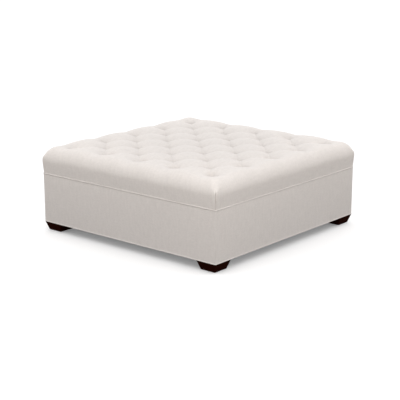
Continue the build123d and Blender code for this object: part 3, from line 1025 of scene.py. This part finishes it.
def top_section():
    """The tufted cover with its filling and buttons."""
    cover = dress(tufted_cover(), "cover_fabric", "top_cover")
    layer = filling_body("wadding_layer", wadding_depth, wadding_high, wadding_low, wadding_clearance)
    dress(layer, "filling", "top_wadding")
    layer = filling_body("foam_block", foam_depth, foam_high, foam_low, foam_clearance)
    dress(layer, "filling", "foam_slab")
    dress(covered_buttons(), "cover_fabric", "tuft_buttons")


def base_section():
    """The four sides of the base with their wadding, and the cloth under it."""
    for turn, side in enumerate(("front", "right", "back", "left")):
        panel = dress(base_panel(f"base_panel_{side}", turn), "cover_fabric", f"base_cover_{side}")
        padding = dress(panel_padding(f"side_padding_{side}", turn), "filling", f"base_padding_{side}")
    cloth = dress(underside_cloth(), "dust_cloth", "dust_cover")


def soft_pieces():
    """All that is made of cloth, cord or filling."""
    top_section()
    dress(seam_piping(), "cover_fabric", "seam_welt")
    dress(hem_piping(), "cover_fabric", "hem_welt")
    base_section()


def finish_nodes():
    """Gives each modelled part that stays the finish of its slot."""
    for name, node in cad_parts.items():
        for index, slot in enumerate(node.material_slots):
            key = slot.material.name.split(".")[0] if slot.material else ""
            if key in materials:
                node.material_slots[index].material = materials[key]
            else:
                print("no finish for", name, key)


# Camera, lights and floor

camera_place = (3.786, -4.499, 1.7005)
camera_drop = radians(14.77)
camera_turn = radians(40.09)
camera_lens = 97.9
sensor_width = 36
side_lamp_out = 1.07  # from the middle of the ottoman
side_lamp_height = 0.72
side_lamp_aim = (0, 0, 0.60)
corner_lamp_place = (2.0, -2.0, 0.49)
corner_lamp_aim = (0.3, -0.3, 0.30)
surround_colour = (0.996, 1, 1.008, 1)
surround_strength = 1.15  # on the object
surround_dimming = 0.16  # of what is seen straight on or mirrored
floor_size = 60.0  # from the middle to each side
floor_bounce = (0.135, 0.122, 0.109, 1)  # colour for the light that goes on to the object
floor_seen = (0.80, 0.80, 0.80, 1)  # colour for what is seen straight on
floor_glow = 0.175  # for what is seen straight on


def place_camera():
    """The camera from which the ottoman is seen with its near corner in front."""
    data = bpy.data.cameras.new("camera")
    data.lens = camera_lens
    data.sensor_width = sensor_width
    camera = bpy.data.objects.new("camera", data)
    camera.location = camera_place
    camera.rotation_euler = (radians(90) - camera_drop, 0, camera_turn)
    bpy.context.scene.collection.objects.link(camera)
    bpy.context.scene.camera = camera


def add_lamp(name, kind, energy, place, target, **settings):
    """A lamp that is aimed at a target and isn't seen itself."""
    data = bpy.data.lights.new(name, kind)
    data.energy = energy
    for key, value in settings.items():
        setattr(data, key, value)
    lamp = bpy.data.objects.new(name, data)
    lamp.location = place
    lamp.rotation_euler = (Vector(target) - Vector(place)).to_track_quat("-Z", "Y").to_euler()
    lamp.visible_camera = False
    lamp.visible_glossy = False
    bpy.context.scene.collection.objects.link(lamp)


def place_lights():
    """A broad light overhead, four soft lamps above the sides and one before the near corner."""
    overhead = {"angle": radians(80), "color": (0.985, 0.995, 1.0)}
    add_lamp("overhead", "SUN", energy=0.05, place=(0, 0, 4.5), target=(0, 0, 0), **overhead)
    side_lamp = {"shape": "RECTANGLE", "size": 2.2, "size_y": 0.3, "color": (1.0, 0.945, 0.89)}
    for side in range(4):
        angle = side * pi / 2
        place = (side_lamp_out * sin(angle), -side_lamp_out * cos(angle), side_lamp_height)
        lamp = {"energy": 1.95, "place": place, "target": side_lamp_aim}
        add_lamp(f"side_lamp_{side}", "AREA", **lamp, **side_lamp)
    corner_lamp = {"shape": "RECTANGLE", "size": 0.8, "size_y": 0.4, "color": (1.0, 0.96, 0.92)}
    lamp = {"energy": 5.0, "place": corner_lamp_place, "target": corner_lamp_aim}
    add_lamp("corner_lamp", "AREA", **lamp, **corner_lamp)


def place_surround():
    """An even pale surround, which is a little dimmer where it is seen than on the object."""
    world = bpy.data.worlds.new("studio")
    bpy.context.scene.world = world
    world.use_nodes = True
    tree = world.node_tree
    background = tree.nodes["Background"]
    background.inputs["Color"].default_value = surround_colour
    path = tree.nodes.new("ShaderNodeLightPath")
    seen = path.outputs["Is Camera Ray"]
    for name in ("Is Glossy Ray", "Is Transmission Ray"):
        either = tree.nodes.new("ShaderNodeMath")
        either.operation = "MAXIMUM"
        tree.links.new(seen, either.inputs[0])
        tree.links.new(path.outputs[name], either.inputs[1])
        seen = either.outputs[0]
    strength = tree.nodes.new("ShaderNodeMath")
    strength.operation = "MULTIPLY_ADD"
    strength.inputs[1].default_value = -surround_dimming
    strength.inputs[2].default_value = surround_strength
    tree.links.new(seen, strength.inputs[0])
    tree.links.new(strength.outputs[0], background.inputs["Strength"])


def floor_material():
    """A white floor that keeps the object's shadow and throws little light back on it."""
    material = bpy.data.materials.new("studio_floor")
    material.use_nodes = True
    tree = material.node_tree
    tree.nodes.remove(tree.nodes["Principled BSDF"])
    diffuse = tree.nodes.new("ShaderNodeBsdfDiffuse")
    lit = tree.nodes.new("ShaderNodeMix")
    lit.data_type = "RGBA"
    lit.inputs["A"].default_value = floor_bounce
    lit.inputs["B"].default_value = floor_seen
    glow = tree.nodes.new("ShaderNodeEmission")
    path = tree.nodes.new("ShaderNodeLightPath")
    level = tree.nodes.new("ShaderNodeMath")
    level.operation = "MULTIPLY"
    level.inputs[1].default_value = floor_glow
    tree.links.new(path.outputs["Is Camera Ray"], lit.inputs["Factor"])
    tree.links.new(lit.outputs["Result"], diffuse.inputs["Color"])
    tree.links.new(path.outputs["Is Camera Ray"], level.inputs[0])
    tree.links.new(level.outputs[0], glow.inputs["Strength"])
    both = tree.nodes.new("ShaderNodeAddShader")
    tree.links.new(diffuse.outputs[0], both.inputs[0])
    tree.links.new(glow.outputs[0], both.inputs[1])
    tree.links.new(both.outputs[0], tree.nodes["Material Output"].inputs["Surface"])
    return material


def lay_floor():
    """The floor, which runs on past what the camera sees."""
    size = floor_size
    corners = [(-size, -size, 0), (size, -size, 0), (size, size, 0), (-size, size, 0)]
    floor = make_object("floor", corners, [(0, 1, 2, 3)])
    floor.data.materials.append(floor_material())
    floor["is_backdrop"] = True


soft_pieces()
finish_nodes()
place_camera()
place_lights()
place_surround()
lay_floor()
bpy.context.scene.view_settings.view_transform = "Standard"

write_size("dressed", sizes)
